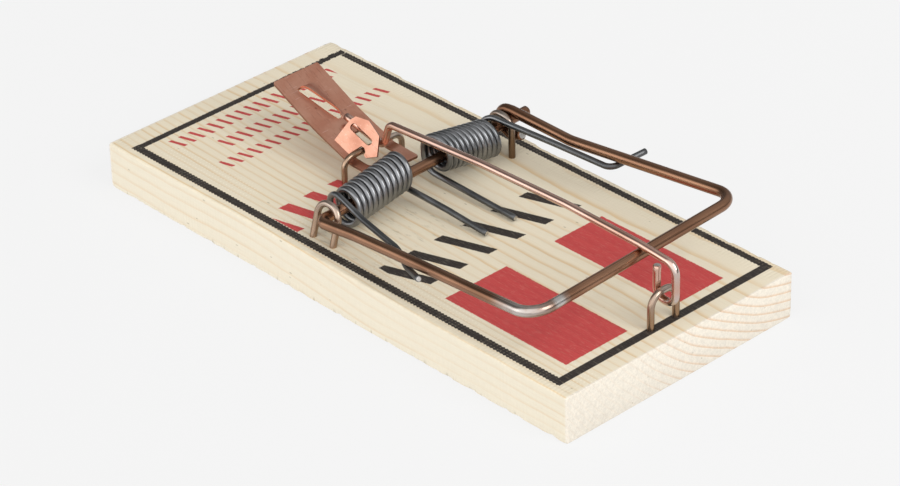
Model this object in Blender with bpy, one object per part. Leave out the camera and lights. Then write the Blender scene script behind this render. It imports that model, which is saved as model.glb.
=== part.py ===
"""Large wooden snap trap, set: the hammer is held down by the holding bar, whose tip sits under the pedal's catch.
Origin at the centre of the board's underside, +X towards the holding bar's staple, +Z up."""

from math import acos, cos, pi, radians, sin, tan

import bmesh
import bpy
from mathutils import Vector

MM = 0.001

# Board
BOARD_L = 175.0
BOARD_W = 80.6
BOARD_T = 13.5
BOARD_EDGE = 0.5

# Hammer wire: axle, two arms, crossbar and the eye that closes it
WIRE_D = 3.0
AXLE_X = -8.3
AXLE_Z = 7.55  # above the board's top, at the middle of the board
AXLE_RISE = 0.033  # the far end of the axle sits a little higher
AXLE_FAR_END = 40.5
NEAR_ARM_Y = -34.5
EYE_Y = 33.6
EYE_R = 3.25
CROSSBAR_X = 72.4
CROSSBAR_Z = 16.35
CORNER_R = 6.0
KINK_X = 15.0

# Springs
SPRING_WIRE_D = 1.7
SPRING_R = 4.65
SPRING_PITCH = 1.75
SPRING_TURNS = 10.75
NEAR_INNER_Y = -5.0
FAR_INNER_Y = 6.8
SPRING_LAST_SHIFT = 2.9
SPRING_CANT = 1.9  # each coil leans until it nearly rests on the axle at both ends
NEAR_CANT_LOW = -0.8
NEAR_SHIFT_X = -0.7

# Staples
STAPLE_WIRE_D = 1.9
PEDAL_STAPLE_WIRE_D = 1.7
LEG_DEPTH = 9.0
HOLE_GAP = 0.3
AXLE_STAPLE_SPAN = 7.7
NEAR_STAPLE_Y = -33.3
NEAR_STAPLE_LEAN = 2.9
FAR_STAPLE_Y = 30.9
BAR_STAPLE_X = 80.6
BAR_STAPLE_Y = 0.4
BAR_STAPLE_SPAN = 9.0
BAR_PIVOT_Z = 9.7
PEDAL_PIVOT_X = -25.8
PEDAL_PIVOT_Z = 7.45
PEDAL_STAPLE_Y = 0.35
PEDAL_STAPLE_SPAN = 20.6

# Holding bar
BAR_D = 2.1
HOOK_WIDTH = 6.4
HOOK_BOTTOM_Z = 6.85

# Pedal: one stamped sheet
SHEET_T = 0.7
PEDAL_W = 15.9
PEDAL_Y = -0.15
TAIL_X = -16.2
TAIL_Z = 5.0
HINGE_Z = 5.4
KNEE_X = -40.5
KNEE_Z = 10.6
BAIT_END_X = -55.6
BAIT_END_Z = 18.0
SLIT_X = -45.1
SLIT_Y = -1.4
SLIT_L = 12.1
SLIT_SLOPE = 0.304
SLIT_GAP = 0.8
HOOD_W = 4.6
HOOD_RISE = 2.5
CATCH_FOLD_Y = -5.9
CATCH_LEAN = radians(52)


def over_board(x, y, z):
    """A point given by its height over the board's top."""
    return Vector((x, y, z + BOARD_T))


def axle_z(y):
    return AXLE_Z + AXLE_RISE * y


def clear_scene():
    for obj in list(bpy.data.objects):
        bpy.data.objects.remove(obj, do_unlink=True)


def mesh_object(name, points, faces, smooth=False):
    """A mesh object from points in millimetres."""
    mesh = bpy.data.meshes.new(name)
    mesh.from_pydata([Vector(p) * MM for p in points], [], faces)
    mesh.update()
    for face in mesh.polygons:
        face.use_smooth = smooth
    obj = bpy.data.objects.new(name, mesh)
    bpy.context.scene.collection.objects.link(obj)
    return obj


def give_material(obj, name, colour, metallic, roughness):
    material = bpy.data.materials.get(name)
    if material is None:
        material = bpy.data.materials.new(name)
        material.use_nodes = True
        shader = material.node_tree.nodes["Principled BSDF"]
        shader.inputs["Base Color"].default_value = (*colour, 1.0)
        shader.inputs["Metallic"].default_value = metallic
        shader.inputs["Roughness"].default_value = roughness
    obj.data.materials.clear()
    obj.data.materials.append(material)


def set_origin(obj, point):
    """Puts the object's origin on its joint, without moving its shape."""
    place = Vector(point) * MM
    for vertex in obj.data.vertices:
        vertex.co -= place
    obj.location = place


# ---------------------------------------------------------------- wires


def rounded(corners, radii, arc_steps=5):
    """The polyline through the corners, with each inner corner turned into an arc."""
    path = [Vector(corners[0])]
    for i, radius in enumerate(radii):
        before, corner, after = (Vector(p) for p in corners[i : i + 3])
        back = (before - corner).normalized()
        ahead = (after - corner).normalized()
        inside = acos(max(-1.0, min(1.0, back.dot(ahead))))
        turn = pi - inside
        if turn < 0.01:
            path.append(corner)
            continue
        reach = radius / tan(inside / 2)
        start = corner + back * reach
        centre = corner + (back + ahead).normalized() * (radius / sin(inside / 2))
        arm_in = start - centre
        arm_out = corner + ahead * reach - centre
        steps = max(2, round(arc_steps * turn / (pi / 2)))
        for k in range(steps + 1):
            t = k / steps
            arm = arm_in * sin((1 - t) * turn) + arm_out * sin(t * turn)
            path.append(centre + arm / sin(turn))
    path.append(Vector(corners[-1]))
    return path


def wire_mesh(name, path, diameter, sides=8, axis=None):
    """A round wire along the path, closed by flat ends. A coil gives its axis, which keeps its turns alike."""
    points = []
    across = None
    for i, place in enumerate(path):
        along = path[min(i + 1, len(path) - 1)] - path[max(i - 1, 0)]
        along.normalize()
        if axis is not None and abs(along.dot(axis)) < 0.7:
            across = axis - along * along.dot(axis)
        elif across is None:
            across = along.orthogonal()
        else:
            across = across - along * along.dot(across)
        across.normalize()
        third = along.cross(across)
        for k in range(sides):
            angle = 2 * pi * (k + 0.5) / sides
            points.append(place + (across * cos(angle) + third * sin(angle)) * diameter / 2)
    faces = [tuple(reversed(range(sides)))]
    last = (len(path) - 1) * sides
    for ring in range(0, last, sides):
        for k in range(sides):
            after = (k + 1) % sides
            faces.append((ring + k, ring + after, ring + sides + after, ring + sides + k))
    faces.append(tuple(range(last, last + sides)))
    obj = mesh_object(name, points, faces, smooth=True)
    obj.data.polygons[0].use_smooth = False
    obj.data.polygons[-1].use_smooth = False
    return obj


def hammer_path():
    """From the axle's far end through the near bend, near arm, crossbar and far arm to the eye round the axle."""
    corners = [
        over_board(AXLE_X, AXLE_FAR_END, axle_z(AXLE_FAR_END)),
        over_board(AXLE_X, NEAR_ARM_Y, axle_z(NEAR_ARM_Y)),
        over_board(6.0, -34.8, 8.5),
        over_board(22.0, -35.2, 10.1),
        over_board(57.3, -36.5, 13.6),
        over_board(CROSSBAR_X + 0.2, -36.9, CROSSBAR_Z - 37 * AXLE_RISE),
        over_board(CROSSBAR_X - 0.3, 36.0, CROSSBAR_Z + 36 * AXLE_RISE),
        over_board(KINK_X, EYE_Y, 11.8),
        over_board(AXLE_X + 1.5, EYE_Y, axle_z(EYE_Y) + EYE_R + 0.2),
    ]
    path = rounded(corners, [3.0, 10, 20, 30, CORNER_R, CORNER_R, 25])
    for degrees in range(100, 241, 20):
        turn = radians(degrees)
        x = AXLE_X + EYE_R * cos(turn)
        path.append(over_board(x, EYE_Y, axle_z(EYE_Y) + EYE_R * sin(turn)))
    path.append(over_board(AXLE_X + 0.6, EYE_Y, axle_z(EYE_Y) - EYE_R - 0.55))
    path.append(over_board(AXLE_X + 3.0, EYE_Y, axle_z(EYE_Y) - EYE_R + 0.1))
    path.append(over_board(AXLE_X + 5.2, EYE_Y, axle_z(EYE_Y) - EYE_R + 1.0))
    return path


def coil_path(side, steps=14):
    """From the coil's inner end, on the pedal's side, to its top at the outer end. Side is -1 near, +1 far."""
    inner = NEAR_INNER_Y if side < 0 else FAR_INNER_Y
    outer = inner + side * SPRING_TURNS * SPRING_PITCH
    # The near coil's outer end rests on the wood, so it leans less and starts under the axle
    low = NEAR_CANT_LOW if side < 0 else -SPRING_CANT
    start = -radians(100) if side < 0 else -pi
    shift = NEAR_SHIFT_X if side < 0 else 0.0
    total = SPRING_TURNS + 0.5 + (start + pi) / (2 * pi)
    count = round(total * steps)
    path = []
    for k in range(count + 1):
        turns = total * k / count
        wound = min(turns, SPRING_TURNS) / SPRING_TURNS
        loose = max(0.0, turns - SPRING_TURNS) / (total - SPRING_TURNS)
        y = inner + (outer - inner) * wound + side * SPRING_LAST_SHIFT * loose
        lean = SPRING_CANT + (low - SPRING_CANT) * wound
        turn = start - 2 * pi * turns
        x = AXLE_X + shift + SPRING_R * cos(turn)
        path.append(over_board(x, y, axle_z(y) + lean + SPRING_R * sin(turn)))
    return path


def spring_path(side):
    """Inner leg resting on the wood, the coil round the axle, and the outer leg hooked under the hammer's arm."""
    coil = coil_path(side)
    inner, outer = coil[0], coil[-1]
    if side < 0:
        tip = over_board(20.4, -2.3, 0.3 + SPRING_WIRE_D / 2)
        lead = [tip, over_board(6.8, -3.4, 3.0), inner]
        hook = [
            over_board(2.0, -28.7, 9.1),
            over_board(18.3, -31.4, 8.4),
            over_board(24.6, -34.1, 6.9),
            over_board(34.2, -38.9, 9.8),
        ]
        tail = rounded([outer] + hook, [12, 12, 5])
    else:
        tip = over_board(20.2, 8.2, 0.3 + SPRING_WIRE_D / 2)
        knee = Vector((inner.x, inner.y + 0.3, BOARD_T + 3.0))
        lead = rounded([tip, knee, inner], [4.2])
        hook = [
            over_board(11.9, 30.4, 11.1),
            over_board(31.0, 32.4, 10.45),
            over_board(33.3, 43.2, 12.2),
        ]
        tail = rounded([outer] + hook, [30, 3.2])
    return lead[:-1] + coil + tail[1:]


def bar_path():
    """From the cut end of its hook, round under the staple, over the crossbar and down to the tip in the catch."""
    hook_x = BAR_STAPLE_X + 4.1
    corners = [
        over_board(hook_x - HOOK_WIDTH, BAR_STAPLE_Y, 15.9),
        over_board(hook_x - HOOK_WIDTH, BAR_STAPLE_Y, HOOK_BOTTOM_Z),
        over_board(hook_x, BAR_STAPLE_Y, HOOK_BOTTOM_Z),
        over_board(hook_x, BAR_STAPLE_Y, 18.3),
        over_board(CROSSBAR_X, 0.4, 19.3),
        over_board(47.0, 0.2, 20.1),
        over_board(17.0, 0.0, 19.4),
        over_board(-18.8, 0.4, 16.7),
        over_board(-21.6, 0.4, 9.0),
        over_board(-37.0, 1.0, 11.8),
    ]
    return rounded(corners, [3.0, 3.0, 3.2, 30, 60, 60, 2.4, 2.4])


def staple_path(foot_a, foot_b, height, shoulder, lean=0.0):
    """Two legs and a crown. Heights and feet are measured at the wire's centre, the lean is along Y."""
    a = over_board(*foot_a, 0)
    b = over_board(*foot_b, 0)
    down = Vector((0, 0, -LEG_DEPTH))
    up = Vector((0, lean, height))
    corners = [a + down, a, a + up, b + up, b, b + down]
    bend = 2.0 if lean else 0.0
    return rounded(corners, [bend, shoulder, shoulder, bend])


# ---------------------------------------------------------------- board


def staple_feet():
    half = AXLE_STAPLE_SPAN / 2
    feet = [(AXLE_X + half * s, y) for s in (-1, 1) for y in (NEAR_STAPLE_Y, FAR_STAPLE_Y)]
    feet += [(BAR_STAPLE_X, BAR_STAPLE_Y + BAR_STAPLE_SPAN / 2 * s) for s in (-1, 1)]
    feet += [(PEDAL_PIVOT_X, PEDAL_STAPLE_Y + PEDAL_STAPLE_SPAN / 2 * s) for s in (-1, 1)]
    return feet


def build_board():
    """The wooden base, with a blind hole for each staple leg."""
    x, y = BOARD_L / 2, BOARD_W / 2
    points = [(sx * x, sy * y, z) for z in (0, BOARD_T) for sy in (-1, 1) for sx in (-1, 1)]
    faces = [(0, 2, 3, 1), (4, 5, 7, 6), (0, 1, 5, 4), (2, 6, 7, 3), (0, 4, 6, 2), (1, 3, 7, 5)]
    board = mesh_object("base_board", points, faces)
    bevel = board.modifiers.new("worn_edges", "BEVEL")
    bevel.width = BOARD_EDGE * MM
    bevel.segments = 2
    for i, (foot_x, foot_y) in enumerate(staple_feet()):
        bottom = Vector((foot_x, foot_y, BOARD_T - LEG_DEPTH - HOLE_GAP))
        top = Vector((foot_x, foot_y, BOARD_T + 2))
        hole = wire_mesh(f"hole_{i}", [bottom, top], STAPLE_WIRE_D + 2 * HOLE_GAP + 0.1, sides=12)
        hole.hide_render = True
        hole.display_type = "WIRE"
        cut = board.modifiers.new(f"staple_hole_{i}", "BOOLEAN")
        cut.operation = "DIFFERENCE"
        cut.solver = "EXACT"
        cut.object = hole
    give_material(board, "pine", (0.80, 0.66, 0.46), 0.0, 0.6)
    return board


# ---------------------------------------------------------------- pedal


def sheet_z(x):
    """Height of the sheet's middle over the board's top, along its length."""
    knots = [(TAIL_X, TAIL_Z), (PEDAL_PIVOT_X, HINGE_Z), (KNEE_X, KNEE_Z), (BAIT_END_X, BAIT_END_Z)]
    for (x0, z0), (x1, z1) in zip(knots, knots[1:]):
        if x >= x1 or x1 == BAIT_END_X:
            return z0 + (z1 - z0) * (x - x0) / (x1 - x0)


def slit_y(x):
    """The bait slit runs a little across the pedal."""
    return SLIT_Y + SLIT_SLOPE * (x - SLIT_X)


def hood_rise(x, y):
    """How far the bait hood is pressed up out of the sheet: most at the slit, nothing at its far side."""
    along = (x - SLIT_X) / (SLIT_L / 2)
    width = HOOD_W * (1 - 0.5 * along)
    across = (y - slit_y(x)) / width
    if abs(along) >= 1 or not 0 < across < 1:
        return 0.0
    end = 1 - abs(along) ** (6 if along < 0 else 12)
    return HOOD_RISE * end * (1 + 0.08 * along) * cos(across * pi / 2) ** 2


def prism(name, outline, low, high):
    """An outline in plan, extruded."""
    count = len(outline)
    points = [(x, y, low) for x, y in outline] + [(x, y, high) for x, y in outline]
    faces = [tuple(reversed(range(count))), tuple(range(count, 2 * count))]
    for k in range(count):
        after = (k + 1) % count
        faces.append((k, after, count + after, count + k))
    return mesh_object(name, points, faces)


def cut_out(obj, name, outline):
    """Cuts a plan outline through a flat blank."""
    cutter = prism(name, outline, -5, 5)
    cut = obj.modifiers.new(name, "BOOLEAN")
    cut.operation = "DIFFERENCE"
    cut.solver = "EXACT"
    cut.object = cutter
    cutter.hide_render = True
    cutter.display_type = "WIRE"


def settle(obj):
    """Turns the object's modifiers into mesh, and removes the cutters they used."""
    graph = bpy.context.evaluated_depsgraph_get()
    shape = bpy.data.meshes.new_from_object(obj.evaluated_get(graph))
    cutters = [modifier.object for modifier in obj.modifiers if modifier.type == "BOOLEAN"]
    obj.modifiers.clear()
    obj.data = shape
    for cutter in cutters:
        bpy.data.objects.remove(cutter, do_unlink=True)


def rounded_outline(corners, radius):
    closed = [corners[-1]] + corners + [corners[0]]
    path = rounded([(x, y, 0) for x, y in closed], [radius] * len(corners), arc_steps=3)
    return [(p.x, p.y) for p in path[1:-1]]


def slotted_blank():
    """The pedal's flat blank, seen in plan, with its bait slot and catch window."""
    half = PEDAL_W / 2
    ends = [(BAIT_END_X, -half), (TAIL_X, -half), (TAIL_X, half), (BAIT_END_X, half)]
    plan = [(x, y + PEDAL_Y) for x, y in ends]
    blank = prism("pedal", rounded_outline(plan, 0.5), -SHEET_T / 2, SHEET_T / 2)
    window = [(-33.4, -5.2), (-20.4, -5.2), (-20.4, 4.6), (-33.4, 4.6)]
    ends = [SLIT_X - SLIT_L / 2, SLIT_X + SLIT_L / 2]
    slot = [(x, slit_y(x) - SLIT_GAP / 2) for x in ends]
    slot += [(ends[1], slit_y(ends[1]) + SLIT_GAP), (ends[0], slit_y(ends[0]) + SLIT_GAP / 2)]
    cut_out(blank, "catch_window", rounded_outline(window, 1.6))
    cut_out(blank, "bait_slot", slot)
    settle(blank)
    return blank


def bend_sheet(blank):
    """Splits the flat blank where it bends, then lifts every point to the bent shape."""
    mesh = bmesh.new()
    mesh.from_mesh(blank.data)
    lines = [PEDAL_PIVOT_X, KNEE_X] + [SLIT_X + SLIT_L * (k / 12 - 0.5) for k in range(13)]
    cuts = [(x, 0, (1, 0, 0)) for x in lines]
    cuts += [(SLIT_X, SLIT_Y + y, (-SLIT_SLOPE, 1, 0)) for y in (0.4, 1.2, 2.0, 2.8, 3.6, 4.6, 5.8)]
    for x, y, normal in cuts:
        everything = mesh.verts[:] + mesh.edges[:] + mesh.faces[:]
        place = Vector((x, y, 0)) * MM
        bmesh.ops.bisect_plane(mesh, geom=everything, plane_co=place, plane_no=normal, dist=1e-7)
    bmesh.ops.triangulate(mesh, faces=mesh.faces[:])
    for vertex in mesh.verts:
        x, y = vertex.co.x / MM, vertex.co.y / MM
        lift = sheet_z(x) + hood_rise(x, y) + BOARD_T
        vertex.co.z += lift * MM
    mesh.to_mesh(blank.data)
    mesh.free()


def catch_outline():
    """The catch plate, flat: first along the pedal towards the bait, then up from its fold."""
    return [
        (0.0, -1.0),
        (0.2, 6.9),
        (-0.5, 8.7),
        (-4.4, 10.3),
        (-9.6, 9.2),
        (-12.9, 4.8),
        (-10.6, 2.5),
        (-9.7, 2.6),
        (-9.4, 3.6),
        (-8.3, 4.2),
        (-7.3, 3.9),
        (-6.9, 2.9),
        (-6.3, 1.4),
        (-5.7, -1.0),
    ]


def build_catch():
    """The plate turned up out of the window, leaning over the bar's tip, with its long slot."""
    plate = prism("catch", list(reversed(catch_outline())), -SHEET_T / 2, SHEET_T / 2)
    slot = rounded_outline([(-1.0, 5.2), (-1.0, 7.2), (-9.2, 7.2), (-9.2, 5.2)], 0.99)
    cut_out(plate, "catch_slot", slot)
    settle(plate)
    slope = (KNEE_Z - HINGE_Z) / (KNEE_X - PEDAL_PIVOT_X)
    along = Vector((-1, 0, -slope)).normalized()
    leaning = Vector((0, cos(CATCH_LEAN), sin(CATCH_LEAN)))
    out = along.cross(leaning).normalized()
    up = out.cross(along)
    foot = over_board(-33.9, CATCH_FOLD_Y, sheet_z(-33.9))
    for vertex in plate.data.vertices:
        flat = vertex.co / MM
        vertex.co = (foot + along * flat.x + up * flat.y + out * flat.z) * MM
    return plate


def build_pedal():
    pedal = slotted_blank()
    bend_sheet(pedal)
    catch = build_catch()
    join = pedal.modifiers.new("catch", "BOOLEAN")
    join.operation = "UNION"
    join.solver = "EXACT"
    join.object = catch
    settle(pedal)
    set_origin(pedal, over_board(PEDAL_PIVOT_X, 0, PEDAL_PIVOT_Z))
    give_material(pedal, "copper_plate", (0.72, 0.38, 0.29), 1.0, 0.35)


# ---------------------------------------------------------------- assembly


def build_staples():
    half = AXLE_STAPLE_SPAN / 2
    near = [(AXLE_X + s * half, NEAR_STAPLE_Y) for s in (-1, 1)]
    far = [(AXLE_X + s * half, FAR_STAPLE_Y) for s in (-1, 1)]
    bar = [(BAR_STAPLE_X, BAR_STAPLE_Y + s * BAR_STAPLE_SPAN / 2) for s in (-1, 1)]
    pedal = [(PEDAL_PIVOT_X, PEDAL_STAPLE_Y + s * PEDAL_STAPLE_SPAN / 2) for s in (-1, 1)]
    plans = [
        ("axle_staple_near", staple_path(*near, 9.7, 3.4, NEAR_STAPLE_LEAN), STAPLE_WIRE_D),
        ("axle_staple_far", staple_path(*far, 11.5, 3.4), STAPLE_WIRE_D),
        ("bar_staple", staple_path(*bar, BAR_PIVOT_Z, 4.0), STAPLE_WIRE_D),
        ("pedal_staple", staple_path(*pedal, PEDAL_PIVOT_Z, 3.0), PEDAL_STAPLE_WIRE_D),
    ]
    for name, path, diameter in plans:
        staple = wire_mesh(name, path, diameter)
        give_material(staple, "copper_wire", (0.50, 0.33, 0.25), 1.0, 0.35)


def build_hammer():
    hammer = wire_mesh("hammer", hammer_path(), WIRE_D, sides=10)
    set_origin(hammer, over_board(AXLE_X, 0, AXLE_Z))
    give_material(hammer, "hammer_wire", (0.36, 0.25, 0.20), 1.0, 0.35)


def build_springs():
    for name, side in (("spring_near", -1), ("spring_far", 1)):
        spring = wire_mesh(name, spring_path(side), SPRING_WIRE_D, axis=Vector((0, 1, 0)))
        set_origin(spring, over_board(AXLE_X, 0, AXLE_Z))
        give_material(spring, "spring_steel", (0.13, 0.13, 0.14), 1.0, 0.35)


def build_bar():
    bar = wire_mesh("holding_bar", bar_path(), BAR_D)
    set_origin(bar, over_board(BAR_STAPLE_X, BAR_STAPLE_Y, BAR_PIVOT_Z))
    give_material(bar, "bar_wire", (0.50, 0.33, 0.25), 1.0, 0.3)


clear_scene()
build_board()
build_staples()
build_hammer()
build_springs()
build_bar()
build_pedal()
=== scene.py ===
"""Looks for the wooden snap trap: a printed pine board, copper-plated wires, dark springs and a bait pedal.

Lengths are in millimetres and turned into metres when a mesh is made. Wire heights are over the board's top.
+X points towards the holding bar's staple, +Y to the far side and +Z up.
"""

from math import acos, cos, pi, radians, sin, sqrt, tan

import bmesh
import bpy
from mathutils import Matrix, Vector, noise


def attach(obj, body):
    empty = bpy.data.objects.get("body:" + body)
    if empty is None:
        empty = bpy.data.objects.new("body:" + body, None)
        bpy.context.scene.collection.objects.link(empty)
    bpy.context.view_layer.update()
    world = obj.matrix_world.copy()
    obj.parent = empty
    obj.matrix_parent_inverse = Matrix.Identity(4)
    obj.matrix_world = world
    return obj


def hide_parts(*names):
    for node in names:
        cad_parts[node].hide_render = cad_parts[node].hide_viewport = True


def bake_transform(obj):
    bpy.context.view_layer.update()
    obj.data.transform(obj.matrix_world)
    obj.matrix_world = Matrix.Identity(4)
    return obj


MM = 0.001

# Board
BOARD_L = 175.0
BOARD_W = 80.6
BOARD_T = 13.5
EDGE_RADII = (0.3, 0.4, 0.4, 0.7)  # lower near, lower far, upper far and upper near edge
END_ROUNDING = ((0.0, 0.3), (0.05, 0.15), (0.15, 0.05), (0.3, 0.0))  # distance from the end, wood missing
BOARD_STEPS = 140  # divisions along the board
SECTION_STEP = 2.2  # rough length of a division across it
CHIP_SIZE = 0.55
CHIP_REACH = 1.2  # how far from an edge the wood is chipped, and the deepest chip

# Hammer
WIRE_D = 3.0
AXLE_X = -8.3
AXLE_Z = 7.55
AXLE_RISE = 0.033
AXLE_FAR_END = 40.5
NEAR_ARM_Y = -34.5
EYE_Y = 33.6
EYE_R = 3.25
CROSSBAR_X = 72.4
CROSSBAR_Z = 16.35
CORNER_R = 6.0
KINK_X = 15.0

# Springs
SPRING_WIRE_D = 1.7
SPRING_R = 4.65
SPRING_PITCH = 1.75
SPRING_TURNS = 10.75
NEAR_INNER_Y = -5.0
FAR_INNER_Y = 6.8
SPRING_LAST_SHIFT = 2.9
SPRING_CANT = 1.9
NEAR_CANT_LOW = -0.8
NEAR_SHIFT_X = -0.7
COIL_WEAR_AND_SHEEN = (20.0, 1.6)  # reach from the coil's middle, and amount: rubbed coil, fading out along the legs; it also paints the coil lighter and the legs darker, as painted light and shade

# Staples
STAPLE_WIRE_D = 1.9
PEDAL_STAPLE_WIRE_D = 1.7
LEG_DEPTH = 9.0
AXLE_STAPLE_SPAN = 7.7
NEAR_STAPLE_Y = -33.3
NEAR_STAPLE_LEAN = 2.9
FAR_STAPLE_Y = 30.9
BAR_STAPLE_X = 80.6
BAR_STAPLE_Y = 0.4
BAR_STAPLE_SPAN = 9.0
BAR_PIVOT_Z = 9.7
PEDAL_PIVOT_X = -25.8
PEDAL_PIVOT_Z = 7.45
PEDAL_STAPLE_Y = 0.35
PEDAL_STAPLE_SPAN = 20.6

# Holding bar
BAR_D = 2.1
HOOK_X = BAR_STAPLE_X + 4.1  # the hook's outer leg
HOOK_WIDTH = 6.4
HOOK_BOTTOM_Z = 6.85

# Pedal
SHEET_T = 0.7
PEDAL_W = 15.9
PEDAL_Y = -0.15
TAIL_X = -16.2
TAIL_Z = 5.0
HINGE_Z = 5.4
KNEE_X = -40.5
KNEE_Z = 10.6
BAIT_END_X = -55.6
BAIT_END_Z = 18.0
SLIT_X = -45.1
SLIT_Y = -1.4
SLIT_L = 12.1
SLIT_SLOPE = 0.304
SLIT_GAP = 0.8
WINDOW = [(-33.4, -5.2), (-20.4, -5.2), (-20.4, 4.6), (-33.4, 4.6)]
HOOD_W = 4.6
HOOD_RISE = 2.5
HOOD_TAPER = 0.5  # share of its width that the hood loses from its middle to its +X end
HOOD_ENDS = (6, 24)  # how squarely its -X and +X ends stop
CATCH_FOOT_X = -33.9
CATCH_FOLD_Y = -5.9
CATCH_LEAN = radians(52)
CATCH_SLOT = [(-1.0, 5.2), (-1.0, 7.2), (-9.2, 7.2), (-9.2, 5.2)]

# Wood: the pith runs along X, beyond the board's far side
PITH_Y = 50.0
PITH_Z = 68.0
RING_WIDTH = 5.0
RING_TIGHTENING = 0.0016
TOOTH_PITCH = 1.15  # teeth of the rollers that fed the board

# Printed border: the middle of each line, and the half widths between which its edge fades out
BORDER_NEAR_Y = -36.4
BORDER_FAR_Y = 37.8
BORDER_LEFT_X = -80.2
BORDER_SKEW = 0.011  # the left line moves this far towards -X for each unit of Y
BORDER_RIGHT_X = 81.0
NEAR_FADE = (1.15, 1.35)
FAR_FADE = (1.0, 1.2)
LEFT_FADE = (0.9, 1.15)
RIGHT_FADE = (1.2, 1.4)
FAR_LINE_START_X = -79.5

# Printed blocks, as their spans in X and Y, and strokes, as their pitch, width and slant
BLACK_BARS = ((11.5, 26.5), (-32.0, 27.0))
BAR_STROKES = (10.2, 3.3, -0.35)
RED_PANELS = (((34.0, 77.0), (-30.0, -8.5)), ((34.0, 77.0), (8.5, 26.0)))
RED_BAND = ((-29.0, -16.5), (-35.0, -9.0))
BAND_STROKES = (8.6, 3.6, -0.25)
RED_ROWS = (
    ((-76.5, -71.5), (-29.0, 29.0)),
    ((-67.5, -62.5), (-19.0, 19.0)),
    ((-58.5, -54.0), (-26.0, 33.0)),
)
ROW_STROKES = (3.3, 1.15, -0.3)

# Camera
CAMERA_PLACE = (610.6, -559.1, 511.0)
CAMERA_AZIMUTH = radians(47.344)
CAMERA_ELEVATION = radians(31.588)
CAMERA_ROLL = radians(-1.431)
CAMERA_LENS = 147.73

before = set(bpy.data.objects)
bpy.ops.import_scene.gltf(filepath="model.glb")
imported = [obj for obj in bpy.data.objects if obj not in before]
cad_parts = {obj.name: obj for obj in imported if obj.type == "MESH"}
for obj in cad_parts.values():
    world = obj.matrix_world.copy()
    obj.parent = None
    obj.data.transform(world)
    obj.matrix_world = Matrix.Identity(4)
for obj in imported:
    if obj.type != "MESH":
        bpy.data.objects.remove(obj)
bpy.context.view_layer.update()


def over_board(x, y, z):
    """A point given by its height over the board's top."""
    return Vector((x, y, z + BOARD_T))


def axle_z(y):
    return AXLE_Z + AXLE_RISE * y


# ---------------------------------------------------------------- shader nodes


class Value:
    """A number in a material that changes over the surface. Arithmetic on it adds Math nodes."""

    def __init__(self, graph, socket):
        self.graph = graph
        self.socket = socket

    def math(self, operation, *others):
        node = self.graph.node("ShaderNodeMath")
        node.operation = operation
        for slot, item in zip(node.inputs, (self, *others)):
            self.graph.plug(item, slot)
        return Value(self.graph, node.outputs[0])

    def __add__(self, other):
        return self.math("ADD", other)

    __radd__ = __add__

    def __sub__(self, other):
        return self.math("SUBTRACT", other)

    def __rsub__(self, other):
        return (self * -1.0) + other

    def __mul__(self, other):
        return self.math("MULTIPLY", other)

    __rmul__ = __mul__

    def __truediv__(self, other):
        return self.math("DIVIDE", other)

    def __abs__(self):
        return self.math("ABSOLUTE")

    def least(self, other):
        return self.math("MINIMUM", other)

    def most(self, other):
        return self.math("MAXIMUM", other)

    def squared(self):
        return self * self

    def power(self, exponent):
        return self.math("POWER", exponent)

    def root(self):
        return self.math("SQRT")

    def fraction(self):
        return self.math("FRACT")

    def sine(self):
        return self.math("SINE")

    def cosine(self):
        return self.math("COSINE")

    def ramp(self, low, high, to_low=0.0, to_high=1.0):
        """Runs smoothly from to_low to to_high while this value runs from low to high."""
        node = self.graph.node("ShaderNodeMapRange")
        node.interpolation_type = "SMOOTHSTEP"
        for name, item in (
            ("Value", self),
            ("From Min", low),
            ("From Max", high),
            ("To Min", to_low),
            ("To Max", to_high),
        ):
            self.graph.plug(item, node.inputs[name])
        return Value(self.graph, node.outputs["Result"])


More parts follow.
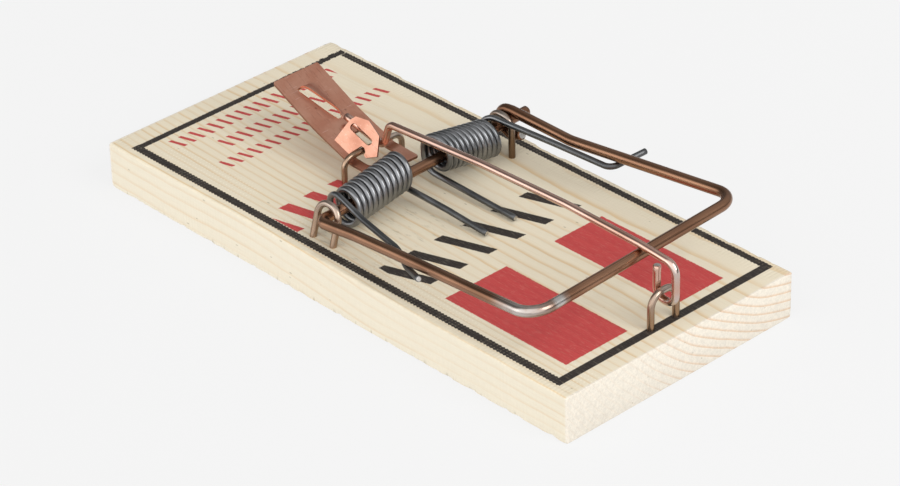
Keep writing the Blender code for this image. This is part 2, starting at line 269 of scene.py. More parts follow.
class Graph:
    """The node tree of one material, or of the world."""

    def __init__(self, owner):
        owner.use_nodes = True
        self.material = owner
        self.tree = owner.node_tree
        self.shader = self.tree.nodes.get("Principled BSDF")
        self.place = None

    def node(self, kind):
        return self.tree.nodes.new(kind)

    def plug(self, item, slot):
        if isinstance(item, Value):
            self.tree.links.new(item.socket, slot)
        elif isinstance(item, bpy.types.NodeSocket):
            self.tree.links.new(item, slot)
        else:
            slot.default_value = item

    def position(self, kind="Object", scale=1 / MM):
        """x, y and z of the surface at rest, in millimetres. For the world, of the direction looked in."""
        if self.place is None:
            source = self.node("ShaderNodeTexCoord").outputs[kind]
            split = self.node("ShaderNodeSeparateXYZ")
            self.plug(source, split.inputs[0])
            self.place = [Value(self, out) * scale for out in split.outputs]
        return self.place

    def number(self, value):
        node = self.node("ShaderNodeValue")
        node.outputs[0].default_value = value
        return node.outputs[0]

    def attribute(self, name):
        node = self.node("ShaderNodeAttribute")
        node.attribute_name = name
        return Value(self, node.outputs["Fac"])

    def vector(self, x, y, z):
        node = self.node("ShaderNodeCombineXYZ")
        for item, slot in zip((x, y, z), node.inputs):
            self.plug(item, slot)
        return node.outputs[0]

    def noise(self, x, y, z, detail=2.0, roughness=0.5):
        """Smooth noise from 0 to 1 at this point, where one unit is about one blob."""
        node = self.node("ShaderNodeTexNoise")
        self.plug(self.vector(x, y, z), node.inputs["Vector"])
        node.inputs["Scale"].default_value = 1.0
        node.inputs["Detail"].default_value = detail
        node.inputs["Roughness"].default_value = roughness
        return Value(self, node.outputs[0])

    def spots(self, x, y, z):
        """Distance from the nearest of many scattered points, about one to a unit cube."""
        node = self.node("ShaderNodeTexVoronoi")
        self.plug(self.vector(x, y, z), node.inputs["Vector"])
        node.inputs["Scale"].default_value = 1.0
        return Value(self, node.outputs["Distance"])

    def mix(self, share, first, second):
        """The first colour where share is 0 and the second where it is 1."""
        node = self.node("ShaderNodeMix")
        node.data_type = "RGBA"
        self.plug(share, node.inputs[0])
        for colour, slot in ((first, node.inputs[6]), (second, node.inputs[7])):
            self.plug((*colour, 1.0) if isinstance(colour, tuple) else colour, slot)
        return node.outputs[2]

    def tint(self, colour, factor):
        """The colour made lighter or darker by a factor."""
        node = self.node("ShaderNodeVectorMath")
        node.operation = "SCALE"
        self.plug(colour, node.inputs[0])
        self.plug(factor, node.inputs["Scale"])
        return node.outputs[0]

    def bump(self, height, distance):
        """Height from 0 to 1, for a relief this many millimetres deep."""
        node = self.node("ShaderNodeBump")
        node.inputs["Distance"].default_value = distance * MM
        node.inputs["Strength"].default_value = 1.0
        self.plug(height, node.inputs["Height"])
        self.plug(node.outputs[0], self.shader.inputs["Normal"])

    def surface(self, colour, roughness, metallic=0.0, specular=0.5):
        self.plug(colour, self.shader.inputs["Base Color"])
        self.plug(roughness, self.shader.inputs["Roughness"])
        self.shader.inputs["Metallic"].default_value = metallic
        self.shader.inputs["Specular IOR Level"].default_value = specular


def linear(red, green, blue):
    """Blender's linear colour, from one given as it looks on a screen, 0 to 255."""
    shares = [c / 255 for c in (red, green, blue)]
    return tuple(c / 12.92 if c <= 0.04045 else ((c + 0.055) / 1.055) ** 2.4 for c in shares)


def inside(low, value, high, soft=0.12):
    """1 where the value is between low and high."""
    return value.ramp(low - soft, low + soft) * value.ramp(high - soft, high + soft, 1.0, 0.0)


# ---------------------------------------------------------------- materials

WOOD_PALE = linear(222, 211, 188)
WOOD_SIDE = linear(222, 216, 202)
WOOD_LATE = linear(208, 172, 118)
WOOD_FIBRE = linear(206, 186, 152)
END_PALE = linear(225, 217, 203)
END_LATE = linear(208, 166, 124)
SPECK_AND_EDGE_DARK = linear(112, 100, 62)
DENT = linear(244, 238, 222)
# Painted shadow of the springs and their legs on the wood
PAINTED_SPRING_SHADOW = linear(128, 116, 86)
INK_RED = (linear(186, 68, 67), linear(172, 58, 59))
INK_BLACK = (linear(38, 33, 31), linear(64, 56, 50))

# Clean and tarnished copper wash on each wire, then its nicks and the steel under it, whose colour at the
# bar's hook is also a painted glint
HAMMER_COPPER = (linear(160, 121, 96), linear(126, 91, 70))
BAR_COPPER = (linear(220, 184, 169), linear(184, 146, 128))
STAPLE_COPPER = (linear(180, 152, 130), linear(118, 96, 76))
NICK = linear(205, 180, 166)
BARE_STEEL_AND_GLINT = linear(196, 192, 188)
CUT_STEEL = (linear(214, 212, 208), linear(168, 164, 160))
# Lit and shaded copies of the spring steel: the coil painted lighter, the legs painted darker as shade
COIL_STEEL_PAINTED_LIT = (linear(138, 139, 141), linear(106, 108, 110))
LEG_STEEL_PAINTED_SHADE = (linear(104, 105, 106), linear(82, 83, 84))

PLATE_COPPER = (linear(212, 158, 135), linear(194, 136, 113))
PLATE_STREAK = linear(150, 96, 80)
PLATE_SCRATCH = linear(158, 104, 88)
# Painted highlight colour, for glints on fine crosswise scratches
PLATE_PAINTED_GLINT = linear(240, 200, 186)
PLATE_DENT = linear(120, 76, 64)
# Painted shade colour for the shallow dimple beside the slit
PLATE_HOLLOW_SHADE = linear(150, 98, 80)
# Painted shade colour for the dark outline of the sheared edges
PLATE_EDGE_SHADE = linear(72, 48, 40)


def roller_teeth(x):
    """A wave along the board, from -1 to 1, with one crest for each tooth of the feed rollers."""
    return (x * (2 * pi / TOOTH_PITCH)).sine()


def block(x, y, span_x, span_y):
    """1 inside a rectangle of the printed face."""
    return inside(span_x[0], x, span_x[1]) * inside(span_y[0], y, span_y[1])


def strokes(across, along, pitch, width, slant):
    """A row of slanted strokes: 1 on a stroke. They repeat along the row, every pitch."""
    place = ((along + across * slant) / pitch).fraction() * pitch
    return inside(pitch / 2 - width / 2, place, pitch / 2 + width / 2)


def border_mask(g):
    """The printed border. The teeth of the feed rollers cross its two long lines."""
    x, y, _ = g.position()
    ragged = (g.noise(x * 2.2, y * 2.2, 0.0, 3.0) - 0.5) * 0.5
    jagged = (g.noise(x * 0.4, y * 1.3, 0.0, 3.0, 0.7) - 0.5) * y.ramp(-10.0, 38.0, 0.3, 2.4)
    teeth = roller_teeth(x) * 0.13
    near = abs(y - BORDER_NEAR_Y) + ragged + teeth
    far = abs(y - BORDER_FAR_Y) + ragged + teeth * 0.7
    left = abs(x - BORDER_LEFT_X + y * BORDER_SKEW) + jagged + ragged
    right = abs(x - BORDER_RIGHT_X) + ragged * 0.4
    span_x = inside(BORDER_LEFT_X - 0.8, x, BORDER_RIGHT_X + 1.3)
    span_y = inside(BORDER_NEAR_Y - 1.1, y, BORDER_FAR_Y + 1.0)
    far_start = x.ramp(FAR_LINE_START_X - 0.4, FAR_LINE_START_X + 0.4)
    lines = near.ramp(*NEAR_FADE, 1.0, 0.0) * span_x
    lines = lines.most(far.ramp(*FAR_FADE, 1.0, 0.0) * span_x * far_start)
    lines = lines.most(left.ramp(*LEFT_FADE, 1.0, 0.0) * span_y)
    lines = lines.most(right.ramp(*RIGHT_FADE, 1.0, 0.0) * span_y)
    # Faint bare dots where the teeth pressed through the ink
    ticks = roller_teeth(x).ramp(0.5, 0.95)
    near_rows = inside(0.35, abs(y - BORDER_NEAR_Y), 0.75, 0.08)
    rows = near_rows.most(inside(-0.25, y - BORDER_FAR_Y, 0.25, 0.1))
    patchy = g.noise(x * 0.09, y * 0.1, 0.0).ramp(0.4, 0.65, 0.0, 0.2)
    return lines * (1.0 - ticks * rows * patchy)


def ink_masks(g):
    """Where the black and the red ink are: the border, two panels and rows of plain strokes."""
    x, y, z = g.position()
    ragged = (g.noise(x * 1.6, y * 1.6, 0.0, 3.0) - 0.5) * 0.5
    on_top = z.ramp(BOARD_T - 0.5, BOARD_T - 0.15)
    rx = x + ragged
    ry = y + ragged
    bars = block(rx, ry, *BLACK_BARS) * strokes(rx, ry, *BAR_STROKES)
    black = border_mask(g).most(bars)
    red = block(rx, ry, *RED_BAND) * strokes(rx, ry, *BAND_STROKES)
    for panel in RED_PANELS:
        red = red.most(block(rx, ry, *panel))
    for row in RED_ROWS:
        red = red.most(block(rx, ry, *row) * strokes(rx, ry, *ROW_STROKES))
    return black * on_top, red * on_top


def stitch_mask(g):
    """Rows of small light dents beside the near border, where the teeth of the feed rollers ran."""
    x, y, z = g.position()
    ticks = roller_teeth(x).ramp(0.45, 0.9)
    rows = (y * (2 * pi / 1.3)).sine().ramp(0.4, 0.85)
    beside = inside(BORDER_NEAR_Y + 1.5, y, -27.0, 1.2)
    patchy = g.noise(x * 0.06, y * 0.08, 0.0, 2.0).ramp(0.42, 0.6)
    return ticks * rows * beside * patchy * z.ramp(BOARD_T - 0.4, BOARD_T - 0.1)


def spring_shadow_mask(g):
    """Painted shadow of the springs: dark streaks under them and beside the near staple."""
    x, y, z = g.position()
    streaks = g.noise(x * 0.16, y * 0.8, 0.0, 3.0, 0.65).ramp(0.54, 0.72)
    under = inside(-14.0, x, 13.0, 6.0) * inside(-35.0, y, -3.0, 3.0)
    return streaks * under * z.ramp(BOARD_T - 0.4, BOARD_T - 0.1)


def pine_material():
    g = Graph(bpy.data.materials.new("printed_pine"))
    x, y, z = g.position()
    sway = g.noise(x * 0.009, y * 0.02, z * 0.02, 1.0) - 0.5
    ripple = g.noise(x * 0.07, y * 0.09, z * 0.09, 2.0) - 0.5
    across = (y - PITH_Y + sway * 7.0 + x * 0.012).squared()
    from_pith = (across + (z - PITH_Z + sway * 4.0).squared()).root()
    # Rings are wide near the pith and get closer further out
    age = from_pith / RING_WIDTH + from_pith.squared() * RING_TIGHTENING + ripple * 0.35
    ring = age.fraction()
    late = ring.ramp(0.2, 0.9) * ring.ramp(0.93, 1.0, 1.0, 0.0)
    strength = g.noise(x * 0.008, from_pith * 0.3, 0.0, 2.0).ramp(0.32, 0.68, 0.25, 1.0)
    fibre = g.noise(x * 0.035, y * 1.7, z * 1.7, 3.0, 0.6)
    fine = g.noise(x * 0.3, y * 6.0, z * 6.0, 2.0, 0.6)
    wood = g.mix(late.power(5.0) * strength * 0.62, WOOD_PALE, WOOD_LATE)
    wood = g.mix(fibre.ramp(0.5, 0.8) * 0.25, wood, WOOD_FIBRE)
    wood = g.mix(z.ramp(BOARD_T - 0.8, BOARD_T - 0.1, 0.35, 0.0), wood, WOOD_SIDE)
    wood = g.tint(wood, 0.95 + fine * 0.1)
    # Cut ends show pores and paler, pinker wood
    end = abs(x).ramp(BOARD_L / 2 - 0.9, BOARD_L / 2 - 0.3)
    pores = g.noise(x * 0.6, y * 1.4, z * 1.4, 3.0, 0.75)
    arcs = late.power(6.0) * y.ramp(-22.0, 12.0, 0.08, 0.6)
    sawn = g.mix(arcs, END_PALE, END_LATE)
    wood = g.mix(end, wood, g.tint(sawn, pores.ramp(0.25, 0.75, 0.88, 1.07)))
    # Grime specks, and patches darker towards the lower edges
    speck = g.spots(x * 0.11, y * 0.3, z * 0.3).ramp(0.04, 0.07, 1.0, 0.0)
    low_edge = z.ramp(0.2, 1.6, 1.0, 0.0) * g.noise(x * 0.5, 0.0, 0.0, 2.0).ramp(0.55, 0.7)
    wood = g.mix(speck.most(low_edge) * 0.45, wood, SPECK_AND_EDGE_DARK)
    wood = g.mix(stitch_mask(g) * 0.45, wood, DENT)
    # Painted shadow under the springs, in streaks
    wood = g.mix(spring_shadow_mask(g) * 0.4, wood, PAINTED_SPRING_SHADOW)
    black, red = ink_masks(g)
    worn = g.noise(x * 0.35, y * 4.5, 0.0, 3.0, 0.7).ramp(0.24, 0.5, 0.82, 1.0)
    ink_red = g.tint(g.mix(late * 0.3, *INK_RED), 0.93 + fine * 0.14)
    ink_black = g.mix(g.noise(x * 1.2, y * 5.0, 0.0, 2.0) * 0.35, *INK_BLACK)
    wood = g.mix(red * worn, wood, ink_red)
    wood = g.mix(black * worn, wood, ink_black)
    g.surface(wood, fine.ramp(0.2, 0.8, 0.62, 0.5), specular=0.3)
    rollers = roller_teeth(x) * 0.25 * abs(y).ramp(30.0, 37.0)
    g.bump(late * -0.3 + fibre * 0.4 + fine * 0.3 + rollers + pores * end * 0.9, 0.1)
    return g.material


def wire_material(name, coppers, roughness):
    """Smooth plated wire: broad tarnish, faint drawing lines, and bare steel where it is rubbed. At the bar's
    hook that grey is also a painted highlight for silvery glints.
    """
    g = Graph(bpy.data.materials.new(name))
    x, y, z = g.position()
    along = g.attribute("along")
    around = g.attribute("around")
    lines = g.noise(along * 0.03, around.cosine() * 2.5, around.sine() * 2.5, 2.0, 0.5)
    nicks = g.noise(along * 0.5, around.cosine() * 1.6, around.sine() * 1.6, 2.0, 0.6)
    patches = g.noise(x * 0.05, y * 0.05, z * 0.05, 2.0, 0.5)
    colour = g.mix(patches.ramp(0.3, 0.75), *coppers)
    colour = g.mix(nicks.ramp(0.66, 0.78) * 0.25, colour, NICK)
    wear_and_sheen = g.attribute("wear_and_sheen")
    rubbed = (wear_and_sheen * 1.3 * nicks.ramp(0.1, 0.6, 0.45, 1.0)).least(1.0)
    colour = g.mix(rubbed, colour, BARE_STEEL_AND_GLINT)
    g.surface(colour, lines.ramp(0.3, 0.7, roughness - 0.05, roughness + 0.04), 1.0)
    g.bump(lines * 0.4 + nicks * 0.6, 0.004)
    return g.material


def spring_material():
    """Oiled spring steel: the coil is rubbed and shiny, and the legs keep their dull oil film. The coil's
    lighter colour is painted light and the legs' darker colour is painted shade.
    """
    g = Graph(bpy.data.materials.new("oiled_spring_steel"))
    x, y, z = g.position()
    along = g.attribute("along")
    around = g.attribute("around")
    lines = g.noise(along * 0.03, around.cosine() * 2.0, around.sine() * 2.0, 2.0, 0.5)
    oil = g.noise(x * 0.12, y * 0.12, z * 0.12, 2.0, 0.5)
    coil = g.attribute("wear_and_sheen").ramp(0.1, 0.6)
    # Painted light and shade: a lighter steel colour on the coil, a darker one on the legs
    rubbed = g.mix(oil.ramp(0.3, 0.7), *COIL_STEEL_PAINTED_LIT)
    filmed_and_shaded = g.mix(oil.ramp(0.3, 0.7), *LEG_STEEL_PAINTED_SHADE)
    dull = 0.4 - coil * 0.12
    g.surface(g.mix(coil, filmed_and_shaded, rubbed), dull + lines * 0.04, 1.0)
    g.bump(lines, 0.002)
    return g.material


def cut_steel_material():
    """The bare ends left by the wire cutter."""
    g = Graph(bpy.data.materials.new("cut_steel"))
    x, y, z = g.position()
    rough = g.noise(x * 3.0, y * 3.0, z * 3.0, 3.0, 0.6)
    colour = g.mix(rough.ramp(0.3, 0.7), *CUT_STEEL)
    g.surface(colour, rough.ramp(0.2, 0.8, 0.3, 0.5), 1.0)
    g.bump(rough, 0.06)
    return g.material


def plate_material(name, dark=0.0):
    """Copper-plated sheet with fine scratches, stains and dents, painted highlights on crosswise scratches
    and painted shade in the dimple beside the slit. The sheared edges are darker, as painted shade.
    """
    g = Graph(bpy.data.materials.new(name))
    x, y, z = g.position()
    stain = g.noise(x * 0.12, y * 0.12, z * 0.12, 4.0, 0.6)
    lengthwise = g.noise(x * 0.16, y * 2.6, z * 0.3, 4.0, 0.75)
    crosswise = g.noise(x * 2.2, y * 0.14, z * 2.2, 3.0, 0.7)
    dent = g.spots(x * 0.19, y * 0.19, 0.0).ramp(0.02, 0.1, 1.0, 0.0)
    colour = g.mix(stain.ramp(0.35, 0.7), *PLATE_COPPER)
    colour = g.mix(lengthwise.ramp(0.58, 0.66) * 0.5, colour, PLATE_STREAK)
    colour = g.mix(crosswise.ramp(0.68, 0.74) * 0.35, colour, PLATE_SCRATCH)
    # Painted highlights: pale crosswise streaks where fine scratches would glint
    colour = g.mix(crosswise.ramp(0.38, 0.31) * 0.5, colour, PLATE_PAINTED_GLINT)
    colour = g.mix(dent * 0.6, colour, PLATE_DENT)
    # Painted shade: a darker patch for the shallow dimple beside the slit, towards the knee
    hollow_shade = inside(-51.0, x, -39.5, 1.6) * inside(-3.6, y - (x - SLIT_X) * SLIT_SLOPE, -2.0, 0.7)
    colour = g.mix(hollow_shade * 0.35, colour, PLATE_HOLLOW_SHADE)
    # The sheared edges are darkened: painted shade for their dark outline
    if dark > 0:
        colour = g.mix(dark, colour, PLATE_EDGE_SHADE)
    g.surface(colour, stain.ramp(0.3, 0.75, 0.3 + dark * 0.2, 0.46), 1.0)
    g.bump(lengthwise * 0.4 + crosswise * 0.3 + stain * 0.8 - dent * 0.6, 0.06)
    return g.material


# ---------------------------------------------------------------- wires


def rounded(corners, radii, arc_steps=14):
    """The polyline through the corners, with each inner corner turned into an arc."""
    path = [Vector(corners[0])]
    for i, radius in enumerate(radii):
        before, corner, after = (Vector(p) for p in corners[i : i + 3])
        back = (before - corner).normalized()
        ahead = (after - corner).normalized()
        inner = acos(max(-1.0, min(1.0, back.dot(ahead))))
        turn = pi - inner
        if turn < 0.01:
            path.append(corner)
            continue
        reach = radius / tan(inner / 2)
        centre = corner + (back + ahead).normalized() * (radius / sin(inner / 2))
        arm_in = corner + back * reach - centre
        arm_out = corner + ahead * reach - centre
        steps = max(4, round(arc_steps * turn / (pi / 2)))
        for k in range(steps + 1):
            t = k / steps
            arm = arm_in * sin((1 - t) * turn) + arm_out * sin(t * turn)
            path.append(centre + arm / sin(turn))
    path.append(Vector(corners[-1]))
    return path


def spaced(path, most):
    """The same line with extra points, so that no step is longer than most."""
    dense = [path[0]]
    for start, end in zip(path, path[1:]):
        steps = max(1, int((end - start).length / most) + 1)
        dense.extend(start.lerp(end, k / steps) for k in range(1, steps + 1))
    return dense


def mesh_object(name, points, faces, smooth=True):
    mesh = bpy.data.meshes.new(name)
    mesh.from_pydata([Vector(p) * MM for p in points], [], faces)
    mesh.update()
    for face in mesh.polygons:
        face.use_smooth = smooth
    obj = bpy.data.objects.new(name, mesh)
    bpy.context.scene.collection.objects.link(obj)
    return obj


def set_attribute(obj, name, values):
    layer = obj.data.attributes.new(name, "FLOAT", "POINT")
    layer.data.foreach_set("value", values)


def bend_wear_and_sheen(path, spots):
    """How much bare steel shows at each point, from rubbed plating and from painted glints: spots are (place,
    reach, amount).
    """
    wear_and_sheen = []
    for place in path:
        amount = 0.0
        for spot, reach, most in spots:
            amount = max(amount, most * max(0.0, 1.0 - (place - spot).length / reach))
        wear_and_sheen.append(amount)
    return wear_and_sheen


def wire_piece(name, path, diameter, coat, cut, sides=20, axis=None, spots=(), step=1.5):
    """A round wire with slightly chamfered, bare cut ends. Spots, as (place, reach, amount), are where bare
    steel shows: rubbed plating, and at the bar's hook a painted highlight too.
    """
    path = [p.copy() for p in path]
    chamfer = 0.12 * diameter
    ends = []
    for tip, inner in ((path[0], path[1]), (path[-1], path[-2])):
        ends.append(tip + (inner - tip).normalized() * chamfer)
    path = [path[0], ends[0], *path[1:-1], ends[1], path[-1]]
    body = spaced(path[1:-1], step)
    path = [path[0], *body, path[-1]]
    wear_and_sheen = bend_wear_and_sheen(path, spots)
    points, along_values, around_values, wear_and_sheen_values = [], [], [], []
    across = None
    travelled = 0.0
    for i, place in enumerate(path):
        along = (path[min(i + 1, len(path) - 1)] - path[max(i - 1, 0)]).normalized()
        if axis is not None and abs(along.dot(axis)) < 0.7:
            across = axis - along * along.dot(axis)
        elif across is None:
            across = along.orthogonal()
        else:
            across = across - along * along.dot(across)
        across.normalize()
        third = along.cross(across)
        travelled += (place - path[max(i - 1, 0)]).length
        radius = diameter / 2 - (chamfer if i in (0, len(path) - 1) else 0.0)
        for k in range(sides):
            angle = 2 * pi * (k + 0.5) / sides
            points.append(place + (across * cos(angle) + third * sin(angle)) * radius)
            along_values.append(travelled)
            around_values.append(angle)
            wear_and_sheen_values.append(wear_and_sheen[i])
    faces = []
    last = (len(path) - 1) * sides
    for ring in range(0, last, sides):
        for k in range(sides):
            after = (k + 1) % sides
            faces.append((ring + k, ring + after, ring + sides + after, ring + sides + k))
    faces.append(tuple(reversed(range(sides))))
    faces.append(tuple(range(last, last + sides)))
    obj = mesh_object(name, points, faces)
    set_attribute(obj, "along", along_values)
    set_attribute(obj, "around", around_values)
    set_attribute(obj, "wear_and_sheen", wear_and_sheen_values)
    obj.data.materials.append(coat)
    obj.data.materials.append(cut)
    for face in list(obj.data.polygons)[-2:]:
        face.use_smooth = False
        face.material_index = 1
    return obj


def hammer_path():
    """From the axle's far end through the near arm, crossbar and far arm to the eye round the axle."""
    corners = [
        over_board(AXLE_X, AXLE_FAR_END, axle_z(AXLE_FAR_END)),
        over_board(AXLE_X, NEAR_ARM_Y, axle_z(NEAR_ARM_Y)),
        over_board(6.0, -34.8, 8.5),
        over_board(22.0, -35.2, 10.1),
        over_board(57.3, -36.5, 13.6),
        over_board(CROSSBAR_X + 0.2, -36.9, CROSSBAR_Z - 37 * AXLE_RISE),
        over_board(CROSSBAR_X - 0.3, 36.0, CROSSBAR_Z + 36 * AXLE_RISE),
        over_board(KINK_X, EYE_Y, 11.8),
        over_board(AXLE_X + 1.5, EYE_Y, axle_z(EYE_Y) + EYE_R + 0.2),
    ]
    path = rounded(corners, [3.0, 10, 20, 30, CORNER_R, CORNER_R, 25])
    for degrees in range(100, 241, 10):
        turn = radians(degrees)
        x = AXLE_X + EYE_R * cos(turn)
        path.append(over_board(x, EYE_Y, axle_z(EYE_Y) + EYE_R * sin(turn)))
    path.append(over_board(AXLE_X + 0.6, EYE_Y, axle_z(EYE_Y) - EYE_R - 0.55))
    path.append(over_board(AXLE_X + 3.0, EYE_Y, axle_z(EYE_Y) - EYE_R + 0.1))
    path.append(over_board(AXLE_X + 5.2, EYE_Y, axle_z(EYE_Y) - EYE_R + 1.0))
    return path


def coil_path(side, steps=30):
    """From the coil's inner end to its top at the outer end. Side is -1 for near and 1 for far."""
    inner = NEAR_INNER_Y if side < 0 else FAR_INNER_Y
    outer = inner + side * SPRING_TURNS * SPRING_PITCH
    low = NEAR_CANT_LOW if side < 0 else -SPRING_CANT
    start = -radians(100) if side < 0 else -pi
    shift = NEAR_SHIFT_X if side < 0 else 0.0
    total = SPRING_TURNS + 0.5 + (start + pi) / (2 * pi)
    count = round(total * steps)
    path = []
    for k in range(count + 1):
        turns = total * k / count
        wound = min(turns, SPRING_TURNS) / SPRING_TURNS
        loose = max(0.0, turns - SPRING_TURNS) / (total - SPRING_TURNS)
        y = inner + (outer - inner) * wound + side * SPRING_LAST_SHIFT * loose
        lean = SPRING_CANT + (low - SPRING_CANT) * wound
        turn = start - 2 * pi * turns
        x = AXLE_X + shift + SPRING_R * cos(turn)
        path.append(over_board(x, y, axle_z(y) + lean + SPRING_R * sin(turn)))
    return path


def spring_path(side):
    """The inner leg on the wood, the coil round the axle, and the outer leg under the hammer's arm."""
    coil = coil_path(side)
    inner, outer = coil[0], coil[-1]
    if side < 0:
        tip = over_board(20.4, -2.3, 0.3 + SPRING_WIRE_D / 2)
        lead = rounded([tip, over_board(6.8, -3.4, 3.0), inner], [60])
        hook = [
            over_board(2.0, -28.7, 9.1),
            over_board(18.3, -31.4, 8.4),
            over_board(24.6, -34.1, 6.9),
            over_board(34.2, -38.9, 9.8),
        ]
        tail = rounded([outer] + hook, [12, 12, 5])
    else:
        tip = over_board(20.2, 8.2, 0.3 + SPRING_WIRE_D / 2)
        knee = Vector((inner.x, inner.y + 0.3, BOARD_T + 3.0))
        lead = rounded([tip, knee, inner], [4.2])
        hook = [
            over_board(11.9, 30.4, 11.1),
            over_board(31.0, 32.4, 10.45),
            over_board(33.3, 43.2, 12.2),
        ]
        tail = rounded([outer] + hook, [30, 3.2])
    return lead[:-1] + coil + tail[1:]


def bar_path():
    """From the hook's cut end, under the staple, over the crossbar and down to the tip in the catch."""
    corners = [
        over_board(HOOK_X - HOOK_WIDTH, BAR_STAPLE_Y, 15.9),
        over_board(HOOK_X - HOOK_WIDTH, BAR_STAPLE_Y, HOOK_BOTTOM_Z),
        over_board(HOOK_X, BAR_STAPLE_Y, HOOK_BOTTOM_Z),
        over_board(HOOK_X, BAR_STAPLE_Y, 18.3),
        over_board(CROSSBAR_X, 0.4, 19.3),
        over_board(47.0, 0.2, 20.1),
        over_board(17.0, 0.0, 19.4),
        over_board(-18.8, 0.4, 16.7),
        over_board(-21.6, 0.4, 9.0),
        over_board(-37.0, 1.0, 11.8),
    ]
    return rounded(corners, [3.0, 3.0, 3.2, 30, 60, 60, 2.4, 2.4])


def staple_path(foot_a, foot_b, height, shoulder, lean=0.0):
    """From the buried end of one leg, up and over, to that of the other. A lean tips the crown towards +Y."""
    a = over_board(*foot_a, 0)
    b = over_board(*foot_b, 0)
    down = Vector((0, 0, -LEG_DEPTH))
    up = Vector((0, lean, height))
    bend = 2.0 if lean else 0.0
    return rounded([a + down, a, a + up, b + up, b, b + down], [bend, shoulder, shoulder, bend])


# ---------------------------------------------------------------- board


def chip(x, y, z):
    """How much wood is missing at an edge of the board."""
    broad = noise.noise(Vector((x * 0.25, y * 0.25, z * 0.25)))
    fine = noise.noise(Vector((x, y, z)) * 0.9)
    return CHIP_SIZE * max(0.0, broad + 0.6 * fine)


def board_section():
    """Outline of the board across its length with slightly rounded corners, as (y, z) going round."""
    half, corners = BOARD_W / 2, []
    centres = [(-1, 0), (1, 0), (1, 1), (-1, 1)]
    starts = [pi, 1.5 * pi, 0.0, 0.5 * pi]
    for (sy, top), radius, start in zip(centres, EDGE_RADII, starts):
        cy = sy * (half - radius)
        cz = BOARD_T - radius if top else radius
        for k in range(7):
            angle = start + k * pi / 12
            corners.append((cy + radius * cos(angle), cz + radius * sin(angle)))
    section = []
    for (y0, z0), (y1, z1) in zip(corners, corners[1:] + corners[:1]):
        length = sqrt((y1 - y0) ** 2 + (z1 - z0) ** 2)
        steps = max(1, round(length / SECTION_STEP))
        section.extend((y0 + (y1 - y0) * k / steps, z0 + (z1 - z0) * k / steps) for k in range(steps))
    return section


def build_board(material):
    """The sawn board, as sections along its length, with rounded ends and chipped edges."""
    section = board_section()
    half = BOARD_L / 2
    depth = END_ROUNDING[-1][0]
    inner = [-half + depth + (BOARD_L - 2 * depth) * k / BOARD_STEPS for k in range(BOARD_STEPS + 1)]
    stations = [(-half + e, inset) for e, inset in END_ROUNDING[:-1]]
    stations += [(x, 0.0) for x in inner]
    stations += [(half - e, inset) for e, inset in reversed(END_ROUNDING[:-1])]
    points = []
    for x, inset in stations:
        for y, z in section:
            edge_y = BOARD_W / 2 - abs(y)
            edge_z = min(z, BOARD_T - z)
            near_edge = max(0.0, 1.0 - (edge_y + edge_z) / CHIP_REACH)
            lost = min(inset + chip(x, y, z) * near_edge, CHIP_REACH)
            sy = -1 if y > 0 else 1
            sz = -1 if z > BOARD_T / 2 else 1
            points.append((x, y + sy * lost, z + sz * lost * 0.8))
    count = len(section)
    faces = []
    for ring in range(len(stations) - 1):
        for k in range(count):
            a, b = ring * count + k, ring * count + (k + 1) % count
            faces.append((a, b, b + count, a + count))
    faces.append(tuple(range(count)))
    last = (len(stations) - 1) * count
    faces.append(tuple(reversed(range(last, last + count))))
    board = mesh_object("board", points, faces)
    mesh = bmesh.new()
    mesh.from_mesh(board.data)
    bmesh.ops.recalc_face_normals(mesh, faces=mesh.faces[:])
    mesh.to_mesh(board.data)
    mesh.free()
    board.data.materials.append(material)
    board.data.set_sharp_from_angle(angle=radians(40))
    return board


# ---------------------------------------------------------------- pedal


def sheet_z(x):
    """Height of the sheet's middle over the board's top, with a rounded knee."""
    low = HINGE_Z + (KNEE_Z - HINGE_Z) * (x - PEDAL_PIVOT_X) / (KNEE_X - PEDAL_PIVOT_X)
    high = KNEE_Z + (BAIT_END_Z - KNEE_Z) * (x - KNEE_X) / (BAIT_END_X - KNEE_X)
    tail = TAIL_Z + (HINGE_Z - TAIL_Z) * (x - TAIL_X) / (PEDAL_PIVOT_X - TAIL_X)
    if x > PEDAL_PIVOT_X:
        return tail
    gap = high - low
    return low + (gap + sqrt(gap * gap + 0.09)) / 2


def slit_y(x):
    return SLIT_Y + SLIT_SLOPE * (x - SLIT_X)


def hood_rise(x, y):
    """How far the bait hood is pressed up out of the sheet: most at the slit, nothing at its far side."""
    along = (x - SLIT_X) / (SLIT_L / 2)
    width = HOOD_W * (1 - HOOD_TAPER * along)
    across = (y - slit_y(x)) / width
    if abs(along) >= 1 or not 0 < across < 1:
        return 0.0
    end = 1 - abs(along) ** (HOOD_ENDS[0] if along < 0 else HOOD_ENDS[1])
    return HOOD_RISE * end * (1 + 0.08 * along) * cos(across * pi / 2) ** 2


